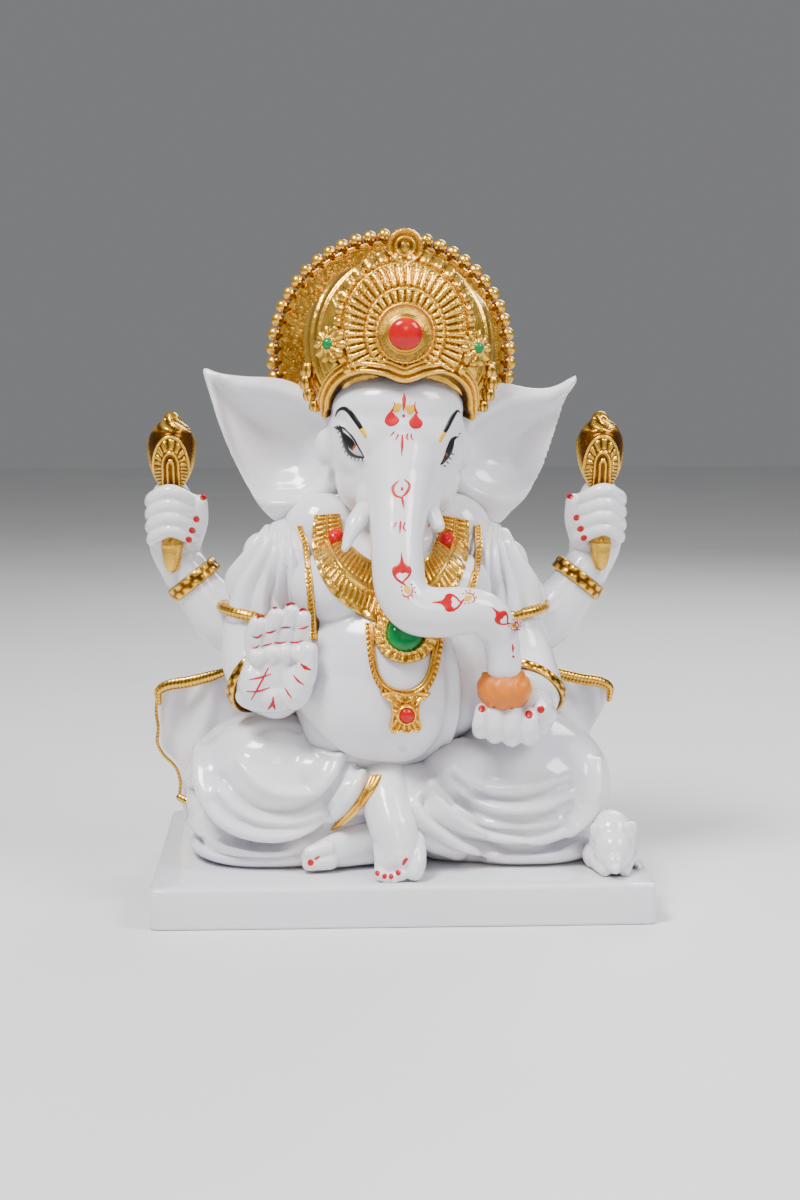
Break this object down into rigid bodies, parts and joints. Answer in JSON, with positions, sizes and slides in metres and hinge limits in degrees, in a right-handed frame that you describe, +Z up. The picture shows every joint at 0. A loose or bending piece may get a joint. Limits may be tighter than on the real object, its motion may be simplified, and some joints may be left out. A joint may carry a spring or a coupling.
{
  "type": "ganesha idol",
  "caption": "Seated, four-armed Ganesha figure on a flat plinth, cast in white resin with a gold-painted crown, halo and jewellery, for a shrine or shelf.",
  "frame": {"origin": "centre of the plinth's underside", "axes": "+Z up through the figure to the halo; the face looks along -Y; +X is the figure's own left, the side of the sweet"},
  "size_m": [0.1902, 0.127, 0.2544],
  "materials": {
    "white_resin": "gloss",
    "gold_paint": "satin",
    "red_enamel": "gloss",
    "green_enamel": "gloss",
    "orange_paint": "satin",
    "black_paint": "gloss",
    "yellow_paint": "satin",
    "dowel_steel": "satin"
  },
  "bodies": {
    "root": {"plinth": "white_resin", "plinth_dowels": "dowel_steel", "lap": "white_resin", "right_leg": "white_resin", "left_leg": "white_resin", "dhoti_border": "gold_paint", "right_foot": "white_resin", "left_foot": "white_resin", "torso_dowels": "dowel_steel", "torso": "white_resin", "neck_dowel": "dowel_steel", "head": "white_resin", "trunk": "white_resin", "right_ear": "white_resin", "left_ear": "white_resin", "right_tusk": "white_resin", "left_tusk": "white_resin", "crown_cap": "gold_paint", "crown_medallion": "gold_paint", "crown_band": "gold_paint", "crown_flowers": "gold_paint", "crown_finial": "gold_paint", "crown_ruby": "red_enamel", "crown_emeralds": "green_enamel", "halo": "gold_paint", "halo_beads": "gold_paint", "right_arm": "white_resin", "right_palm": "white_resin", "right_bracelet": "gold_paint", "left_arm": "white_resin", "left_hand": "white_resin", "left_bracelet": "gold_paint", "laddu": "orange_paint", "rear_right_arm": "white_resin", "rear_right_fist": "white_resin", "rear_right_bangle": "gold_paint", "rear_right_mace": "gold_paint", "rear_left_arm": "white_resin", "rear_left_fist": "white_resin", "rear_left_bangle": "gold_paint", "rear_left_mace": "gold_paint", "right_sleeve": "white_resin", "left_sleeve": "white_resin", "right_sleeve_hem": "gold_paint", "left_sleeve_hem": "gold_paint", "shawl_back": "white_resin", "right_shawl_border": "gold_paint", "left_shawl_border": "gold_paint", "right_wing_border": "gold_paint", "left_wing_border": "gold_paint", "necklace": "gold_paint", "necklace_rubies": "red_enamel", "pendant_setting": "gold_paint", "pendant_emerald": "green_enamel", "pendant_loop": "gold_paint", "pendant_drop": "gold_paint", "pendant_ruby": "red_enamel", "mouse": "white_resin"}
  },
  "joints": []
}
